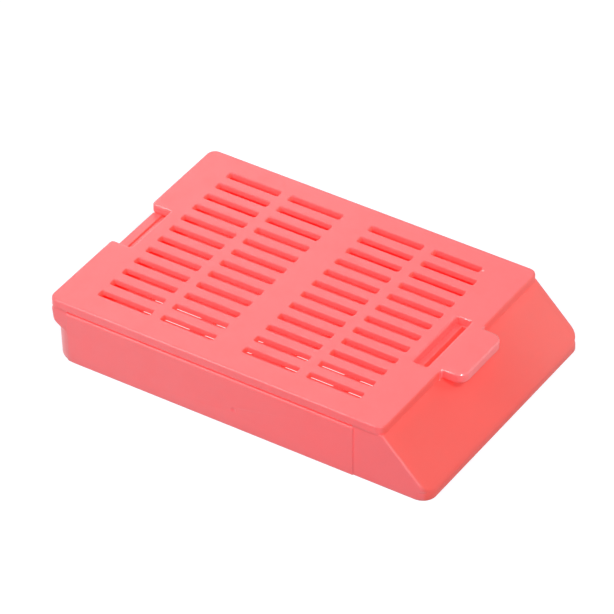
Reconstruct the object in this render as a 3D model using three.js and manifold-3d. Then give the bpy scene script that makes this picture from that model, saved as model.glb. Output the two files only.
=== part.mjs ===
// Tissue cassette: a slotted base tray with a 45 degree writing ramp, and a slotted snap lid that hooks round
// the bar at its rear and swings there. Both pieces are one injection moulding each, in acetal.
// Millimetres, +Z up. The origin is the middle of the footprint, on the surface the cassette stands on.
// -Y is the ramp end, +Y the hinge end.

import * as THREE from 'three';
import { mergeVertices } from 'three/addons/utils/BufferGeometryUtils.js';
import Module from 'manifold-3d';

const wasm = await Module();
wasm.setup();

// Overall sizes
const LENGTH = 41.6;
const WIDTH = 28;
const HEIGHT = 6.8;
const REAR_Y = LENGTH / 2;
const FRONT_Y = -LENGTH / 2;

// Levels: the deck that the lid lies on at the ramp end, the ledge it swings over, the rim of the long walls
const LID_UNDER_Z = 5.88;
const DECK_Z = 5.86;
const LEDGE_Z = 5.82;
const RIM_Z = 5.6;
const FLOOR_Z = 0.65;

// Base walls. The body's side faces lean in by OUTER_DRAFT for each millimetre of height, and the well opens
// upward by WELL_DRAFT, so that the moulding leaves its tool. The long walls stand out from the body by
// WALL_STAND between the cheeks of the ramp and the hinge end.
const OUTER_DRAFT = -0.006;
const WELL_DRAFT = 0.02;
const BODY_HALF_X = 13.91;
const BODY_REAR_Y = 20.6;
const WALL_STAND = 0.09;
const WALL_Y = [-12.75, 18.85];
const WALL = 0.95;
const WELL_Y = [-12.75, BODY_REAR_Y - WALL];
const WELL_CORNER = 1.6;
const FOOT_RADIUS = 0.1;
const FILLET = 0.25;

// Rear corners of the body: their radius in plan at the foot, at the first break, and above the second
const FOOT_CORNER = 2.4;
const BREAK_CORNER = 2.1;
const LEDGE_CORNER = 0.5;
const CORNER_BREAKS_Z = [3.15, 4.35];

// Ramp end of the base. The corners in front narrow to the ramp's own edge rounding over NOSE_RISE.
const NOSE_CORNER = 1.45;
const NOSE_RISE = 1;
const RAMP_OFFSET = 21.7;
const RAMP_THICKNESS = 0.75;
const RAMP_EDGE = 0.2;
const LIP_BLEND = 0.4;

// Gate mark: the shallow dimple where the moulding's runner was broken off, on one long wall
const GATE_YZ = [0.2, 2.1];
const GATE_RADIUS = 0.3;
const GATE_DEPTH = 0.08;

// Bays under the ramp
const BAY_REAR_Y = -13.7;
const BAY_TOP_Z = 5.06;
const BAY_FRONT_Y = -19.9;
const BAY_BREAKS = [-12.75, -5.55, -4.85, 4.85, 5.55, 12.75];

// Slots of the lid and of the floor: four columns along the cassette, rows across it. The floor's rows stand
// on either side of a solid spine.
const SLOT_LENGTH = 5.84;
const SLOT_WIDTH = 0.85;
const SLOT_CORNER = 0.2;
const SLOT_MOUTH = 0.12;
const FLOOR_SLOT_WIDTH = 0.8;
const SLOT_COLUMNS_Y = [14.15, 7.15, -1.9, -8.9];
const SLOT_PITCH = 2;
const LID_ROWS = 12;
const LID_ROW_SHIFT = 0.2;
const FLOOR_ROWS_A_SIDE = 5;
const SPINE_ROW_X = 2.2;
const SHORT_SLOT = 0.58;

// Hinge: a bar across the gap in the rear ledge, round in front and below, with the lid's hook round it. The
// ledge beside it is round-nosed about the same line.
const PIVOT_Y = 20.3;
const NOSE_RADIUS = 0.44;
const PIVOT_Z = LEDGE_Z - NOSE_RADIUS;
const LEDGE_LEAN = THREE.MathUtils.degToRad(8);
const BAR_RADIUS = 0.8;
const BAR_HALF_X = 3.9;
const BROW_HALF_X = 3.3;
const BROW_REAR_Y = 20.57;
const HOOK_HALF_X = 3.3;
const HOOK_INNER = 0.9;
const HOOK_OUTER = 1.4;
const HOOK_TOP_Z = 5.75;
const HOOK_STEM_Y = 18.2;
const HOOK_TURN_ANGLE = THREE.MathUtils.degToRad(-150);
const HOOK_TIP_ANGLE = THREE.MathUtils.degToRad(-75);
const HOOK_HEEL_ANGLE = -Math.PI - Math.asin((HOOK_TOP_Z - PIVOT_Z) / HOOK_INNER);
const HOOK_WINDOW_Z = 3.7;

// Lid
const LID_FRONT_Y = -15.95;
const LID_CORNER = 0.9;
const LID_EDGE = 0.2;
const INSIDE_CORNER = 0.2;
const PANEL_UNDER_Z = 6.2;
const PANEL_Y = [-12.3, 17.6];
const RAIL_X = [12.05, 12.65];
const RAIL_Y = [-11.6, 17.4];
const RAIL_BOTTOM_Z = 5.1;
const NOTCH_HALF_X = 3.4;
const EAR_CORNER = 0.4;
const NOTCH_FRONT_Y = 18.55;
const TAB_HALF_X = 3.65;
const TAB_FRONT_Y = -18.27;
const TAB_CORNER = 1.1;
const WINDOW_HALF_X = 4;
const WINDOW_Y = [-14.6, -13.03];

// Latch: the lid's arm comes down through the slot in the deck, and its barb faces a pocket below the catch
// bar
const LATCH_HALF_X = 3.3;
const LATCH_Y = [-15.35, -14.75];
const LATCH_BOTTOM_Z = 3.3;
const BARB_Y = -13.8;
const BARB_Z = [4.4, 4.9];
const LATCH_SLOT_HALF_X = 3.9;
const LATCH_SLOT_Y = [-15.7, -13.65];
const CATCH_Y = -13.3;
const CATCH_Z = [3.7, 5.02];

const ARC_STEPS = 2;
const PLAN_STEPS = 4;
const FLOOR_SLOT_STEPS = 1;
const CORNER_STEPS = 5;
const NOSE_STEPS = 8;
const GATE_FACETS = 24;
const LAP = 0.15;
const PAST = 1;

// ---- building blocks ----

const ALONG_X = new THREE.Matrix4().makeBasis(
  new THREE.Vector3(0, 1, 0),
  new THREE.Vector3(0, 0, 1),
  new THREE.Vector3(1, 0, 0),
);

// A closed mesh as a solid that can be joined and cut
function toSolid(geometry) {
  const bare = geometry.clone();
  bare.deleteAttribute('normal');
  bare.deleteAttribute('uv');
  const merged = mergeVertices(bare, 1e-5);
  return new wasm.Manifold(new wasm.Mesh({
    numProp: 3,
    vertProperties: new Float32Array(merged.attributes.position.array),
    triVerts: new Uint32Array(merged.index.array),
  }));
}

function toMesh(name, solid, material) {
  const { vertProperties, triVerts } = solid.getMesh();
  const geometry = new THREE.BufferGeometry();
  geometry.setAttribute('position', new THREE.BufferAttribute(vertProperties, 3));
  geometry.setIndex(new THREE.BufferAttribute(triVerts, 1));
  geometry.computeVertexNormals();
  const mesh = new THREE.Mesh(geometry, material);
  mesh.name = name;
  return mesh;
}

function box([x0, x1], [y0, y1], [z0, z1]) {
  const geometry = new THREE.BoxGeometry(x1 - x0, y1 - y0, z1 - z0);
  geometry.translate((x0 + x1) / 2, (y0 + y1) / 2, (z0 + z1) / 2);
  return toSolid(geometry);
}

// A closed outline through corners [x, y, radius], each rounded by a tangent arc of its own radius
function outline(corners, path = new THREE.Shape()) {
  corners.forEach(([x, y, radius = 0], i) => {
    const corner = new THREE.Vector2(x, y);
    const back = new THREE.Vector2(...corners.at(i - 1)).sub(corner).normalize();
    const ahead = new THREE.Vector2(...corners[(i + 1) % corners.length]).sub(corner).normalize();
    const half = back.angleTo(ahead) / 2;
    if (radius > 0) {
      const start = back.clone().multiplyScalar(radius / Math.tan(half));
      const end = ahead.clone().multiplyScalar(radius / Math.tan(half));
      const centre = back.clone().add(ahead).setLength(radius / Math.sin(half));
      const from = start.sub(centre).angle();
      const to = end.sub(centre).angle();
      path.absarc(x + centre.x, y + centre.y, radius, from, to, back.cross(ahead) > 0);
    } else if (i === 0) {
      path.moveTo(x, y);
    } else {
      path.lineTo(x, y);
    }
  });
  return path.closePath();
}

function roundedRectangle([x0, x1], [y0, y1], radius, path) {
  return outline([[x0, y0, radius], [x1, y0, radius], [x1, y1, radius], [x0, y1, radius]], path);
}

// Outlines in plan, raised from z0 to z1
function raise(shapes, [z0, z1], curveSegments = ARC_STEPS) {
  const geometry = new THREE.ExtrudeGeometry(shapes, { depth: z1 - z0, bevelEnabled: false, curveSegments });
  return toSolid(geometry.translate(0, 0, z0));
}

// A side profile drawn in Y and Z, drawn out across the cassette from x0 to x1
function across(profile, [x0, x1], curveSegments = ARC_STEPS) {
  const geometry = new THREE.ExtrudeGeometry(profile, { depth: x1 - x0, bevelEnabled: false, curveSegments });
  return toSolid(geometry.applyMatrix4(ALONG_X).translate(x0, 0, 0));
}

// One closed body through level rings of rounded rectangles, lowest first
function loft(rings, steps = CORNER_STEPS) {
  const loops = rings.map(({ x, y, corner }) => roundedRectangle(x, y, corner).getPoints(steps).slice(1));
  const count = loops[0].length;
  const position = loops.flatMap((loop, r) => loop.flatMap((p) => [p.x, p.y, rings[r].z]));
  const index = [];
  for (let low = 0; low < (rings.length - 1) * count; low += count) {
    for (let i = 0; i < count; i += 1) {
      const a = low + i;
      const b = low + ((i + 1) % count);
      index.push(a, b, b + count, a, b + count, a + count);
    }
  }
  const top = (rings.length - 1) * count;
  for (const [a, b, c] of THREE.ShapeUtils.triangulateShape(loops[0], [])) {
    index.push(a, c, b, top + a, top + b, top + c);
  }
  const geometry = new THREE.BufferGeometry();
  geometry.setAttribute('position', new THREE.Float32BufferAttribute(position, 3));
  geometry.setIndex(index);
  return toSolid(geometry);
}

// Heights and insets of a quarter-round edge at the foot of a block
function footRound(radius, steps = 2 * ARC_STEPS) {
  return Array.from({ length: steps + 1 }, (_, i) => {
    const angle = (i / steps) * (Math.PI / 2);
    return { z: radius * (1 - Math.cos(angle)), inset: radius * (1 - Math.sin(angle)) };
  });
}

// ---- slots ----

// Centres of evenly pitched rows, the first at x
function rowCentres(x, count) {
  return Array.from({ length: count }, (_, i) => x + SLOT_PITCH * i);
}

// Extents in plan of every slot, for rows at the given centres. shorten says how much of a slot's front end is
// left solid.
function slotPlans(rows, width, shorten = () => 0) {
  return SLOT_COLUMNS_Y.flatMap((centreY, column) => rows.map((centreX, row) => ({
    x: [centreX - width / 2, centreX + width / 2],
    y: [centreY - SLOT_LENGTH / 2 + shorten(column, row), centreY + SLOT_LENGTH / 2],
  })));
}

// A cutter for each slot of the lid, which flares at the top to round the slot's mouth
function lidSlotCutters(plans) {
  const mouth = footRound(SLOT_MOUTH, ARC_STEPS).map(({ z, inset }) => ({ z: HEIGHT - inset, flare: z }));
  const levels = [{ z: RAIL_BOTTOM_Z, flare: 0 }, ...mouth, { z: HEIGHT + PAST, flare: SLOT_MOUTH }];
  return plans.map(({ x: [x0, x1], y: [y0, y1] }) => loft(levels.map(({ z, flare }) => ({
    z,
    x: [x0 - flare, x1 + flare],
    y: [y0 - flare, y1 + flare],
    corner: SLOT_CORNER + flare,
  })), ARC_STEPS));
}

// ---- base ----

// Radius in plan of the body's rear corners: wide at the foot, closing to the ledge's nearly square corners
function rearCorner(z) {
  const wall = THREE.MathUtils.mapLinear(z, 0, CORNER_BREAKS_Z[0], FOOT_CORNER, BREAK_CORNER);
  return THREE.MathUtils.lerp(wall, LEDGE_CORNER, THREE.MathUtils.smoothstep(z, ...CORNER_BREAKS_Z));
}

// The body between two places along it, through level rings that stand out from its plain faces
function bodyPart(levels, stand, [y0, y1]) {
  const rings = levels.map(({ z, inset = 0, rear = BODY_REAR_Y }) => {
    const out = stand - inset;
    const halfX = BODY_HALF_X + OUTER_DRAFT * z + out;
    return { z, x: [-halfX, halfX], y: [FRONT_Y, rear + out], corner: rearCorner(z) + out };
  });
  return loft(rings).intersect(box([-WIDTH, WIDTH], [y0, y1], [0, HEIGHT]));
}

// The tray's long walls and floor, with a rounded foot and rim
function longWalls() {
  const rim = footRound(FILLET).map(({ z, inset }) => ({ z: RIM_Z - z, inset })).reverse();
  const breaks = CORNER_BREAKS_Z.map((z) => ({ z }));
  return bodyPart([...footRound(FOOT_RADIUS), ...breaks, ...rim], WALL_STAND, WALL_Y);
}

// The hinge end: round-cornered at the foot, with a square-cornered ledge above. The ledge leans in below its
// round nose, so that the lid's ears swing clear of it.
function hingeEnd() {
  const levels = footRound(FOOT_RADIUS);
  const [low, high] = CORNER_BREAKS_Z;
  for (let i = 0; i < CORNER_STEPS; i += 1) {
    levels.push({ z: THREE.MathUtils.lerp(low, high, i / CORNER_STEPS) });
  }
  const noseZ = PIVOT_Z - NOSE_RADIUS * Math.sin(LEDGE_LEAN);
  const noseY = PIVOT_Y + NOSE_RADIUS * Math.cos(LEDGE_LEAN);
  levels.push({ z: noseZ - (noseY - BODY_REAR_Y) / Math.tan(LEDGE_LEAN) });
  for (let i = 0; i <= CORNER_STEPS; i += 1) {
    const angle = THREE.MathUtils.lerp(-LEDGE_LEAN, Math.PI / 2, i / CORNER_STEPS);
    levels.push({ z: PIVOT_Z + NOSE_RADIUS * Math.sin(angle), rear: PIVOT_Y + NOSE_RADIUS * Math.cos(angle) });
  }
  return bodyPart(levels, 0, [WALL_Y[1], REAR_Y]);
}

// The ramp end: lip, 45 degree writing face and cheeks, as level rings whose front edge follows the profile
function rampEnd() {
  const lipZ = RAMP_OFFSET + FRONT_Y;
  const levels = footRound(FOOT_RADIUS);
  for (const z of [-1, -0.5, 0, 0.5, 1, 1.75]) {
    levels.push({ z: lipZ + z * LIP_BLEND, inset: 0 });
  }
  levels.push({ z: lipZ + NOSE_RISE, inset: 0 }, { z: DECK_Z, inset: 0 });
  return loft(levels.map(({ z, inset }) => {
    const out = OUTER_DRAFT * z - inset;
    const lip = -FRONT_Y + OUTER_DRAFT * (z - lipZ) - inset;
    const ramp = RAMP_OFFSET - z;
    const blend = Math.max(LIP_BLEND - Math.abs(lip - ramp), 0);
    const front = Math.min(lip, ramp) - blend ** 2 / (4 * LIP_BLEND);
    const below = THREE.MathUtils.clamp((lipZ + NOSE_RISE - z) / NOSE_RISE, 0, 1);
    return {
      z,
      x: [-BODY_HALF_X - out, BODY_HALF_X + out],
      y: [-front, WALL_Y[0] + NOSE_CORNER + PAST],
      corner: THREE.MathUtils.lerp(RAMP_EDGE, NOSE_CORNER, below ** 2) - inset,
    };
  }), NOSE_STEPS).intersect(box([-WIDTH, WIDTH], [-LENGTH, WALL_Y[0] + LAP], [0, HEIGHT]));
}

// The tray's hollow
function well() {
  const levels = [...footRound(FILLET), { z: HEIGHT - FLOOR_Z, inset: 0 }];
  return loft(levels.map(({ z, inset }) => {
    const out = WELL_DRAFT * z - inset;
    const halfX = BODY_HALF_X + WALL_STAND - WALL + out;
    return {
      z: FLOOR_Z + z,
      x: [-halfX, halfX],
      y: [WELL_Y[0] - out, WELL_Y[1] + out],
      corner: WELL_CORNER - inset,
    };
  }));
}

// The hollow under the ramp, in bays between stiffening ribs, open below
function rampBays() {
  const inner = RAMP_OFFSET - RAMP_THICKNESS * Math.SQRT2;
  const profile = outline([
    [BAY_REAR_Y, -PAST],
    [BAY_FRONT_Y, -PAST],
    [BAY_FRONT_Y, inner + BAY_FRONT_Y, FILLET],
    [BAY_TOP_Z - inner, BAY_TOP_Z, FILLET],
    [BAY_REAR_Y, BAY_TOP_Z, FILLET],
  ].reverse());
  const bays = [0, 2, 4].map((i) => across(profile, [BAY_BREAKS[i], BAY_BREAKS[i + 1]]));
  return bays[0].add(bays[1]).add(bays[2]);
}

// A ball that sinks into the near long wall far enough to leave a dimple of the gate mark's radius and depth
function gateMark() {
  const ball = (GATE_RADIUS ** 2 + GATE_DEPTH ** 2) / (2 * GATE_DEPTH);
  const geometry = new THREE.SphereGeometry(ball, GATE_FACETS, GATE_FACETS);
  const wallX = BODY_HALF_X + WALL_STAND + OUTER_DRAFT * GATE_YZ[1];
  return toSolid(geometry.translate(-wallX - ball + GATE_DEPTH, ...GATE_YZ));
}

// The hinge bar: a round front and underside, a flat top, and the ledge's nose behind. Between the lid's ears
// its upper rear edge is left square.
function hingeBar() {
  const span = [-BAR_HALF_X - WALL / 2, BAR_HALF_X + WALL / 2];
  const round = new THREE.Shape();
  round.absarc(PIVOT_Y, PIVOT_Z, BAR_RADIUS, 0, 2 * Math.PI);
  const nose = new THREE.Shape();
  nose.absarc(PIVOT_Y, PIVOT_Z, NOSE_RADIUS, 0, 2 * Math.PI);
  const front = across(round, span, 4 * ARC_STEPS);
  const middle = box([-BROW_HALF_X, BROW_HALF_X], [PIVOT_Y - BAR_RADIUS, BROW_REAR_Y], [0, LEDGE_Z]);
  return front
    .intersect(box(span, [0, PIVOT_Y], [0, LEDGE_Z]))
    .add(across(nose, span, 4 * ARC_STEPS))
    .add(front.intersect(middle));
}

function baseSolid() {
  const gapY = [WELL_Y[1] - WALL, REAR_Y];
  const hookGap = box([-BAR_HALF_X, BAR_HALF_X], gapY, [HOOK_WINDOW_Z, HEIGHT]);
  const latchX = [-LATCH_SLOT_HALF_X, LATCH_SLOT_HALF_X];
  const latchSlot = box(latchX, LATCH_SLOT_Y, [BAY_TOP_Z - PAST, HEIGHT]);
  const catchPocket = box(latchX, [BAY_REAR_Y - FILLET, CATCH_Y], CATCH_Z);
  const farRows = rowCentres(SPINE_ROW_X, FLOOR_ROWS_A_SIDE);
  const rows = [...farRows, ...farRows.map((x) => -x)];
  const floorPlans = slotPlans(rows, FLOOR_SLOT_WIDTH).map(({ x, y }) => roundedRectangle(x, y, SLOT_CORNER));
  return longWalls()
    .add(rampEnd())
    .add(hingeEnd())
    .subtract(well())
    .subtract(rampBays())
    .subtract(hookGap)
    .subtract(latchSlot)
    .subtract(catchPocket)
    .subtract(raise(floorPlans, [-PAST, FLOOR_Z + FILLET], FLOOR_SLOT_STEPS))
    .subtract(gateMark())
    .add(hingeBar());
}

// ---- lid ----

// The plate in plan: thumb tab in front, notch over the hinge bar behind, window over the latch barb
function lidPlan() {
  const halfX = WIDTH / 2;
  const plan = outline([
    [TAB_HALF_X, TAB_FRONT_Y, TAB_CORNER],
    [TAB_HALF_X, LID_FRONT_Y, INSIDE_CORNER],
    [halfX, LID_FRONT_Y, LID_CORNER],
    [halfX, REAR_Y, LID_CORNER],
    [NOTCH_HALF_X, REAR_Y, EAR_CORNER],
    [NOTCH_HALF_X, NOTCH_FRONT_Y, INSIDE_CORNER],
    [-NOTCH_HALF_X, NOTCH_FRONT_Y, INSIDE_CORNER],
    [-NOTCH_HALF_X, REAR_Y, EAR_CORNER],
    [-halfX, REAR_Y, LID_CORNER],
    [-halfX, LID_FRONT_Y, LID_CORNER],
    [-TAB_HALF_X, LID_FRONT_Y, INSIDE_CORNER],
    [-TAB_HALF_X, TAB_FRONT_Y, TAB_CORNER],
  ]);
  const windowX = [-WINDOW_HALF_X, WINDOW_HALF_X];
  plan.holes.push(roundedRectangle(windowX, WINDOW_Y, INSIDE_CORNER, new THREE.Path()));
  return plan;
}

// The plate with its upper edges rounded over. It is raised from below its underside and cut off there.
function lidPlate() {
  const geometry = new THREE.ExtrudeGeometry(lidPlan(), {
    depth: HEIGHT - LID_UNDER_Z,
    bevelThickness: LID_EDGE,
    bevelSize: LID_EDGE,
    bevelOffset: -LID_EDGE,
    bevelSegments: 3,
    curveSegments: PLAN_STEPS,
  });
  geometry.translate(0, 0, LID_UNDER_Z - LID_EDGE);
  return toSolid(geometry).subtract(box([-WIDTH, WIDTH], [-LENGTH, LENGTH], [0, LID_UNDER_Z]));
}

// The hook: it comes out from under the plate at the notch and wraps round the hinge bar from below
function hook() {
  const rootZ = PANEL_UNDER_Z + LID_EDGE;
  const profile = new THREE.Shape();
  profile.moveTo(HOOK_STEM_Y, rootZ);
  profile.lineTo(HOOK_STEM_Y, PIVOT_Z);
  profile.absarc(PIVOT_Y, PIVOT_Z, HOOK_OUTER, HOOK_TURN_ANGLE, HOOK_TIP_ANGLE);
  profile.absarc(PIVOT_Y, PIVOT_Z, HOOK_INNER, HOOK_TIP_ANGLE, HOOK_HEEL_ANGLE, true);
  profile.lineTo(NOTCH_FRONT_Y, HOOK_TOP_Z);
  profile.lineTo(NOTCH_FRONT_Y, rootZ);
  profile.closePath();
  return across(profile, [-HOOK_HALF_X, HOOK_HALF_X], 2 * ARC_STEPS);
}

// The latch arm with its barb, which has a lead-in below so that it rides over the catch bar
function latchArm() {
  const [front, rear] = LATCH_Y;
  const profile = outline([
    [front, PANEL_UNDER_Z + LID_EDGE],
    [front, LATCH_BOTTOM_Z, FILLET],
    [rear, LATCH_BOTTOM_Z],
    [BARB_Y, BARB_Z[0]],
    [BARB_Y, BARB_Z[1]],
    [rear, BARB_Z[1]],
    [rear, PANEL_UNDER_Z + LID_EDGE],
  ]);
  return across(profile, [-LATCH_HALF_X, LATCH_HALF_X]);
}

function lidSolid() {
  const [railIn, railOut] = RAIL_X;
  const lastRow = LID_ROWS - 1;
  const rows = rowCentres(LID_ROW_SHIFT - (lastRow * SLOT_PITCH) / 2, LID_ROWS);
  const shorten = (column, row) => (column === SLOT_COLUMNS_Y.length - 1 && row === lastRow ? SHORT_SLOT : 0);
  const slots = wasm.Manifold.union(lidSlotCutters(slotPlans(rows, SLOT_WIDTH, shorten)));
  const recess = box([-railIn, railIn], PANEL_Y, [LID_UNDER_Z - PAST, PANEL_UNDER_Z]);
  const rail = box([railIn, railOut], RAIL_Y, [RAIL_BOTTOM_Z, PANEL_UNDER_Z]);
  return lidPlate()
    .subtract(recess)
    .add(rail)
    .add(rail.translate([-railIn - railOut, 0, 0]))
    .subtract(slots)
    .add(hook())
    .add(latchArm());
}

// ---- the object ----

const acetal = new THREE.MeshStandardMaterial({ color: 0xff7d7f, roughness: 0.42, metalness: 0 });

const cassette = new THREE.Group();
cassette.add(toMesh('base', baseSolid(), acetal));
cassette.add(toMesh('lid', lidSolid(), acetal));

export default cassette;
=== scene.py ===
import math

import bpy
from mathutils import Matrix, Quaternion, Vector


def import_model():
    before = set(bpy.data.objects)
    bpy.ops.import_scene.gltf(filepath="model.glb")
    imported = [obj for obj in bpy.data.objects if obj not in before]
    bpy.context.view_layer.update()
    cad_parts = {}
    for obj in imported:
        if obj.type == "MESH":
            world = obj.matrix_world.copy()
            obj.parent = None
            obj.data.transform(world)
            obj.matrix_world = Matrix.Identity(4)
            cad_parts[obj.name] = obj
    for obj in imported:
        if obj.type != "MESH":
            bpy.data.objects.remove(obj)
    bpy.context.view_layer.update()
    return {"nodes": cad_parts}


MM = 0.001

# Corners of the mouldings. A face whose normal's Z is above LEVEL_FACE counts as level, and an edge with a
# level face on one side only averages one half, give or take BRINK_SLACK.
WELD_DISTANCE = 0.0005 * MM
SMOOTH_ANGLE = math.radians(26)
LEVEL_FACE = 0.9995
BRINK_SLACK = 0.25

# Zones of the mouldings, in millimetres
LATCH_HALF_X = 4.1
LATCH_Y = -12.8
LATCH_Z = 5.9
TAB_Y = -15.9
TAB_SIDE_Y = -16.5
LID_EDGE_Z = 6.3
NOTCH_HALF_X = 5
NOTCH_Y = 18.4
NOSE_X = 13.4
NOSE_Y = -16
# The well, and everything above the foot, is where the painted glow goes
WELL_HALF_X = 13
WELL_FRONT_Y = -15.8
WELL_REAR_Y = 19.6
WELL_FLOOR_Z = 0.2
WELL_TOP_Z = 6.7
FOOT_Z = (0.8, 2.5)
# Where the painted shade on the side faces fades out towards the rear
CHEEK_REAR_Y = 12
CHEEK_FADE = 26
RAMP_HALF_X = 13.9
RAMP_FADE = 0.4
# Where the painted light on the forward faces rises, across and high up
RAMP_FAR_X = (0, 13)
RAMP_TOP_Z = (5.4, 5.8)

# How far a face leans forward or sideways before it takes a zone's finish, painted shade or painted glow,
# from none to all of it
RAMP_LEAN = (0.45, 0.7)
CHEEK_LEAN = (0.5, 0.8)
TAB_SIDE_LEAN = (0.3, 0.8)
EDGE_TURN = (0.005, 0.05)

# Colour of the acetal, with painted shade on the side and forward faces and in the gate dimple, painted
# light towards the far side, and two painted highlights
BODY_COLOUR = (0.955, 0.168, 0.176, 1)
DEEP_COLOUR = (0.955, 0.15, 0.155, 1)
# Painted shade: side faces turn this deeper coral towards the front
CHEEK_SHADE_COLOUR = (1.0, 0.14, 0.148, 1)
# Painted shade: faces that lean forward, the writing slope and the lid's front face, take this deeper coral
RAMP_SHADE_COLOUR = (1.0, 0.116, 0.097, 1)
# Painted light: forward faces turn this lighter coral towards the far side
RAMP_LIT_COLOUR = (1.0, 0.158, 0.138, 1)
# Painted highlights: two small pale spots
GLINT_COLOUR = (1.0, 0.42, 0.42, 1)
# Painted shade in the gate dimple
GATE_DIMPLE_SHADE = (0.85, 0.1, 0.12, 1)
# Share of that painted light given high up, on the lid's front face
RAMP_TOP_SHARE = 0.1
MOTTLE_PER_MM = 0.35
MOTTLE_RANGE = (0.42, 0.7)
MOTTLE_SHARE = 0.4
# Centres of the two painted highlights
GLINT_SPOTS = ((-3.98, -15.88, 5.82), (11.2, -11.5, 6.8))
GLINT_RADIUS = 0.16
# Centre of the painted shade in the gate dimple
GATE_DIMPLE = (-13.9, 0.2, 2.1)
GATE_RADIUS = 0.45
GATE_SHARE = 0.5
MARK_FADE = 0.6

# Surface of the acetal
SATIN = 0.3
MATT = 0.55
POLISH = 0.18
ROUGHNESS_SWING = 0.1
INDEX = 1.48
COAT_INDEX = 3.0
NOISE_MIDDLE = 0.5
GRAIN_PER_MM = 14
GRAIN_STRENGTH = 0.25
GRAIN_HEIGHT = 0.01 * MM
EDGE_ROUND = 0.13 * MM
HANDLED_ROUND = 0.25 * MM
TAB_WEAR = 0.6
WINDOW_WEAR = 0.2
NOSE_WEAR = 0.4

# Light within the acetal: the scattering is real, the glow colours are painted glow
SCATTER_WEIGHT = 0.35
SCATTER_SCALE = 1.0 * MM
SCATTER_RADIUS = (1.0, 0.22, 0.2)
NO_GLOW = (0, 0, 0, 1)
# Painted glow in crevices, and deeper in the well
GLOW_COLOUR = (0.32, 0.01, 0.008, 1)
GLOW_REACH = 1.5 * MM
DEPTH_GLOW_COLOUR = (0.45, 0.027, 0.022, 1)
DEPTH_REACH = 8 * MM
# Painted glow on the tab's front
TAB_GLOW_COLOUR = (0.1, 0.015, 0.015, 1)

# Camera
AZIMUTH = -57.57
ELEVATION = 37.77
ROLL = -0.08
DISTANCE = 0.4816
LENS = 295.9
SENSOR_WIDTH = 36
AIM = Vector((5.04, 4.22, 0)) * MM

# Floor and world
WORLD_LEVEL = 0.4
FLOOR_HALF = 0.6
FLOOR_SHADE = (0.36, 0.41, 0.46, 1)
FLOOR_WHITE = 0.7

# Lamps: direction from the object, distance and side in metres, and the level each adds to a facing surface
LAMPS = {
    "left_lamp": ((-0.134, 0.086, 0.138), 0.21, 0.055, 0.42),
    "rear_lamp": ((0.125, 0.11, 0.09), 0.19, 0.08, 0.07),
    "far_lamp": ((0.565, -0.704, 0.427), 0.094, 0.06, 0.08),
    "front_lamp": ((-0.31, -0.55, 0.77), 0.6, 0.08, 0.34),
    "near_lamp": ((-0.6, -0.6, 0.5), 0.6, 0.4, 0.14),
}


# ---- node trees ----

class Value:
    """The output of a node. Arithmetic on it adds Math nodes to its tree."""

    def __init__(self, graph, socket):
        self.graph = graph
        self.socket = socket

    def _math(self, operation, *inputs):
        return self.graph.node("ShaderNodeMath", {"operation": operation}, dict(enumerate(inputs)))

    def __add__(self, other):
        return self._math("ADD", self, other)

    def __sub__(self, other):
        return self._math("SUBTRACT", self, other)

    def __rsub__(self, other):
        return self._math("SUBTRACT", other, self)

    def __mul__(self, other):
        return self._math("MULTIPLY", self, other)

    def __gt__(self, other):
        return self._math("GREATER_THAN", self, other)

    def __lt__(self, other):
        return self._math("LESS_THAN", self, other)

    def __neg__(self):
        return self * -1

    __radd__ = __add__
    __rmul__ = __mul__

    def size(self):
        return self._math("ABSOLUTE", self)

    def most(self, other):
        return self._math("MAXIMUM", self, other)

    def between(self, low, high):
        """1 from low to high, 0 elsewhere."""
        return (self > low) * (self < high)

    def rise(self, low, high):
        """0 at low and below, 1 at high and above, smooth between."""
        return self.graph.node("ShaderNodeMapRange", {"interpolation_type": "SMOOTHSTEP"},
                               {"Value": self, "From Min": low, "From Max": high})


class Graph:
    """Adds nodes to one node tree."""

    def __init__(self, tree):
        self.tree = tree
        tree.nodes.clear()

    def node(self, kind, settings=None, inputs=None, output=0):
        made = self.tree.nodes.new(kind)
        for name, value in (settings or {}).items():
            setattr(made, name, value)
        for key, value in (inputs or {}).items():
            if isinstance(value, Value):
                self.tree.links.new(value.socket, made.inputs[key])
            else:
                made.inputs[key].default_value = value
        return Value(self, made.outputs[output]) if made.outputs else made

    def mix(self, low, high, factor):
        """Between two colours."""
        return self.node("ShaderNodeMix", {"data_type": "RGBA"}, {0: factor, 6: low, 7: high}, output=2)

    def split(self, vector):
        """The three parts of a vector."""
        return [self.node("ShaderNodeSeparateXYZ", {}, {0: vector}, output=axis) for axis in "XYZ"]

    def crowding(self, reach):
        """0 where nothing is closer than reach, rising to 1 in a deep recess."""
        return 1 - self.node("ShaderNodeAmbientOcclusion", {"samples": 8}, {"Distance": reach}, output="AO")

    def near(self, place, centre, radius):
        """1 around centre, falling to 0 at radius."""
        gap = self.node("ShaderNodeVectorMath", {"operation": "DISTANCE"},
                        {0: place, 1: centre}, output="Value")
        return (radius - gap).rise(0, radius * MARK_FADE)

    def noise(self, place, per_mm, detail, roughness=0.5):
        return self.node("ShaderNodeTexNoise", {},
                         {"Vector": place, "Scale": per_mm, "Detail": detail, "Roughness": roughness})


def shader_tree(name):
    material = bpy.data.materials.new(name)
    material.use_nodes = True
    return material, Graph(material.node_tree)


# ---- acetal ----

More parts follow.
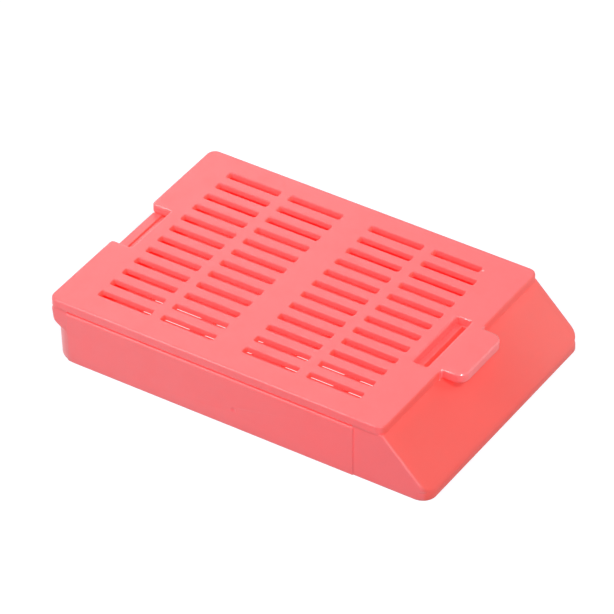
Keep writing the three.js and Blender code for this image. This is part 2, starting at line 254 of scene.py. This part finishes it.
class Zones:
    """Masks for the places of the mouldings that have a finish of their own, and for where shade, light and
    glow are painted.
    """

    def __init__(self, g, place, lean):
        x, y, z = g.split(place)
        sideways, backward, _ = g.split(lean)
        forward = -backward
        self.latch = (x.size() < LATCH_HALF_X) * (y < LATCH_Y) * (z > LATCH_Z)
        self.plate = self.latch * (z > LID_EDGE_Z)
        self.tab = y < TAB_Y
        # painted glow: the tab's forward faces
        self.tab_front_glow = self.latch * (y < TAB_SIDE_Y) * forward.rise(*TAB_SIDE_LEAN)
        self.notch = (x.size() < NOTCH_HALF_X) * (y > NOTCH_Y) * (z > LID_EDGE_Z)
        self.nose = (x.size() > NOSE_X) * (y < NOSE_Y)
        self.well = ((x.size() < WELL_HALF_X) * y.between(WELL_FRONT_Y, WELL_REAR_Y)
                     * z.between(WELL_FLOOR_Z, WELL_TOP_Z))
        self.above_foot = z.rise(*FOOT_Z)
        # painted shade: sideways faces deeper towards the front
        self.side_shade = sideways.size().rise(*CHEEK_LEAN) * (CHEEK_REAR_Y - y).rise(0, CHEEK_FADE)
        # forward faces: a matt finish, and painted shade in their deeper colour
        self.front_matt_and_shade = forward.rise(*RAMP_LEAN) * (RAMP_HALF_X - x.size()).rise(0, RAMP_FADE) * (1 - self.latch)
        # painted light: forward faces lighter towards the far side and a little high up
        self.far_side_light = x.rise(*RAMP_FAR_X).most(z.rise(*RAMP_TOP_Z) * RAMP_TOP_SHARE)


def acetal_colour(g, place, zones, mottle):
    """Coral with a slow mottle, painted shade deeper on the side and forward faces and in the gate dimple,
    painted light towards the far side, and two painted highlights.
    """
    colour = g.mix(BODY_COLOUR, DEEP_COLOUR, mottle.rise(*MOTTLE_RANGE) * MOTTLE_SHARE)
    colour = g.mix(colour, CHEEK_SHADE_COLOUR, zones.side_shade)
    colour = g.mix(colour, g.mix(RAMP_SHADE_COLOUR, RAMP_LIT_COLOUR, zones.far_side_light), zones.front_matt_and_shade)
    colour = g.mix(colour, GATE_DIMPLE_SHADE, g.near(place, GATE_DIMPLE, GATE_RADIUS) * GATE_SHARE)
    for mark in GLINT_SPOTS:
        colour = g.mix(colour, GLINT_COLOUR, g.near(place, mark, GLINT_RADIUS))
    return colour


def painted_glow(g, zones):
    """Painted glow: red emission in the recesses, strongest deep in the well, and on the tab's front,
    standing in for light scattered through the thin walls.
    """
    glow = g.mix(NO_GLOW, GLOW_COLOUR, zones.above_foot.most(zones.well) * g.crowding(GLOW_REACH))
    glow = g.mix(glow, DEPTH_GLOW_COLOUR, zones.well * g.crowding(DEPTH_REACH))
    return g.mix(glow, TAB_GLOW_COLOUR, zones.tab_front_glow)


def acetal():
    """Satin moulded acetal, coral and slightly translucent, polished where it is handled, with painted
    shade, light, highlights and glow.
    """
    material, g = shader_tree("moulded_acetal")
    metres = g.node("ShaderNodeTexCoord", output="Object")
    place = g.node("ShaderNodeVectorMath", {"operation": "SCALE"}, {0: metres, "Scale": 1 / MM})
    true_normal = g.node("ShaderNodeNewGeometry", output="True Normal")
    zones = Zones(g, place, g.node("ShaderNodeVectorTransform", {"vector_type": "NORMAL"}, {0: true_normal}))
    mottle = g.noise(place, MOTTLE_PER_MM, detail=4, roughness=0.6)
    grain = g.noise(place, GRAIN_PER_MM, detail=2)

    worn = zones.notch.most(zones.plate).most(zones.nose)
    rounding = EDGE_ROUND + worn * (HANDLED_ROUND - EDGE_ROUND)
    rounded = g.node("ShaderNodeBevel", {"samples": 6}, {"Radius": rounding})
    flat = g.node("ShaderNodeNewGeometry", output="Normal")
    edge = 1 - g.node("ShaderNodeVectorMath", {"operation": "DOT_PRODUCT"},
                      {0: rounded, 1: flat}, output="Value")
    latch_wear = zones.plate * (WINDOW_WEAR + zones.tab * (TAB_WEAR - WINDOW_WEAR))
    polish = zones.notch.most(zones.nose * NOSE_WEAR).most(latch_wear) * edge.rise(*EDGE_TURN)
    roughness = SATIN + (mottle - NOISE_MIDDLE) * ROUGHNESS_SWING
    surface = g.node("ShaderNodeBsdfPrincipled", {"subsurface_method": "RANDOM_WALK"}, {
        "Base Color": acetal_colour(g, place, zones, mottle),
        "Roughness": roughness + zones.front_matt_and_shade * (MATT - SATIN) + polish * (POLISH - SATIN),
        "Emission Color": painted_glow(g, zones),
        "Emission Strength": 1.0,
        "IOR": INDEX,
        "Subsurface Weight": SCATTER_WEIGHT,
        "Subsurface Radius": SCATTER_RADIUS,
        "Subsurface Scale": SCATTER_SCALE,
        "Coat Weight": polish,
        "Coat Roughness": POLISH,
        "Coat IOR": COAT_INDEX,
        "Normal": g.node("ShaderNodeBump", {}, {
            "Strength": GRAIN_STRENGTH,
            "Distance": GRAIN_HEIGHT,
            "Height": grain,
            "Normal": rounded,
        }),
    })
    g.node("ShaderNodeOutputMaterial", {}, {"Surface": surface})
    return material


# ---- corners ----

def soften(obj):
    """Joins the triangles' corners and shades the rounds as curves, with the true edges left crisp."""
    weld = obj.modifiers.new("weld", "WELD")
    weld.merge_threshold = WELD_DISTANCE
    obj.modifiers.new("rounds", "NODES").node_group = bpy.data.node_groups.get("rounds") or rounds()
    flats = obj.modifiers.new("flats", "WEIGHTED_NORMAL")
    flats.mode = "FACE_AREA"
    flats.weight = 100
    flats.thresh = 0
    flats.keep_sharp = True


def rounds():
    """Smooth shading over gentle edges only, and never over the brink of a level face."""
    tree = bpy.data.node_groups.new("rounds", "GeometryNodeTree")
    tree.interface.new_socket("Geometry", in_out="INPUT", socket_type="NodeSocketGeometry")
    tree.interface.new_socket("Geometry", in_out="OUTPUT", socket_type="NodeSocketGeometry")
    g = Graph(tree)
    shape = g.node("NodeGroupInput")
    angle = g.node("GeometryNodeInputMeshEdgeAngle")
    upward = g.split(g.node("GeometryNodeInputNormal", output="True Normal"))[2] > LEVEL_FACE
    level = g.node("GeometryNodeFieldOnDomain", {"domain": "FACE", "data_type": "FLOAT"}, {0: upward})
    brink = (level - 0.5).size() < BRINK_SLACK
    gentle = (angle < SMOOTH_ANGLE) * (1 - brink)
    smooth = g.node("GeometryNodeSetShadeSmooth", {"domain": "FACE"},
                    {"Geometry": shape, "Shade Smooth": True})
    crisp = g.node("GeometryNodeSetShadeSmooth", {"domain": "EDGE"},
                   {"Geometry": smooth, "Shade Smooth": gentle})
    g.node("NodeGroupOutput", {}, {"Geometry": crisp})
    return tree


# ---- studio ----

def backdrop_light(g):
    """1 for what the camera and reflections see, 0 for light that falls on the object."""
    camera_ray, glossy_ray, transmission_ray = [
        g.node("ShaderNodeLightPath", output=name)
        for name in ("Is Camera Ray", "Is Glossy Ray", "Is Transmission Ray")
    ]
    return camera_ray.most(glossy_ray).most(transmission_ray)


def floor():
    mesh = bpy.data.meshes.new("floor")
    corners = [(x * FLOOR_HALF, y * FLOOR_HALF, 0) for x, y in ((-1, -1), (1, -1), (1, 1), (-1, 1))]
    mesh.from_pydata(corners, [], [range(4)])
    sheet = bpy.data.objects.new("floor", mesh)
    bpy.context.collection.objects.link(sheet)
    material, g = shader_tree("pale_card")
    surface = g.node("ShaderNodeBsdfPrincipled", {}, {
        "Base Color": FLOOR_SHADE,
        "Roughness": 0.9,
        "Emission Color": (1, 1, 1, 1),
        "Emission Strength": backdrop_light(g) * FLOOR_WHITE,
    })
    g.node("ShaderNodeOutputMaterial", {}, {"Surface": surface})
    mesh.materials.append(material)


def world():
    studio = bpy.data.worlds.new("studio")
    bpy.context.scene.world = studio
    studio.use_nodes = True
    g = Graph(studio.node_tree)
    seen = backdrop_light(g)
    strength = seen + (1 - seen) * WORLD_LEVEL
    air = g.node("ShaderNodeBackground", {}, {"Color": (1, 1, 1, 1), "Strength": strength})
    g.node("ShaderNodeOutputWorld", {}, {"Surface": air})


def softbox(name, towards, distance, side, level):
    """A square lamp in direction towards from the object, which adds level to a surface that faces it."""
    lamp = bpy.data.lights.new(name, "AREA")
    lamp.shape = "SQUARE"
    lamp.size = side
    lamp.energy = level * math.pi ** 2 * distance ** 2
    holder = bpy.data.objects.new(name, lamp)
    bpy.context.collection.objects.link(holder)
    direction = Vector(towards).normalized()
    holder.location = direction * distance
    holder.rotation_euler = direction.to_track_quat("Z", "Y").to_euler()


def camera():
    data = bpy.data.cameras.new("camera")
    data.lens = LENS
    data.sensor_width = SENSOR_WIDTH
    data.clip_start = 0.01
    holder = bpy.data.objects.new("camera", data)
    bpy.context.collection.objects.link(holder)
    azimuth = math.radians(AZIMUTH)
    elevation = math.radians(ELEVATION)
    back = Vector((math.sin(azimuth) * math.cos(elevation),
                   -math.cos(azimuth) * math.cos(elevation),
                   math.sin(elevation)))
    holder.location = AIM + back * DISTANCE
    upright = back.to_track_quat("Z", "Y")
    holder.rotation_euler = (upright @ Quaternion((0, 0, 1), math.radians(ROLL))).to_euler()
    bpy.context.scene.camera = holder


# ---- the object ----

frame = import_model()

finish = acetal()
for node in frame["nodes"].values():
    node.data.materials.clear()
    node.data.materials.append(finish)
    soften(node)

floor()
world()
for lamp_name, (towards, distance, side, level) in LAMPS.items():
    softbox(lamp_name, towards, distance, side, level)
camera()
bpy.context.scene.view_settings.view_transform = "Standard"
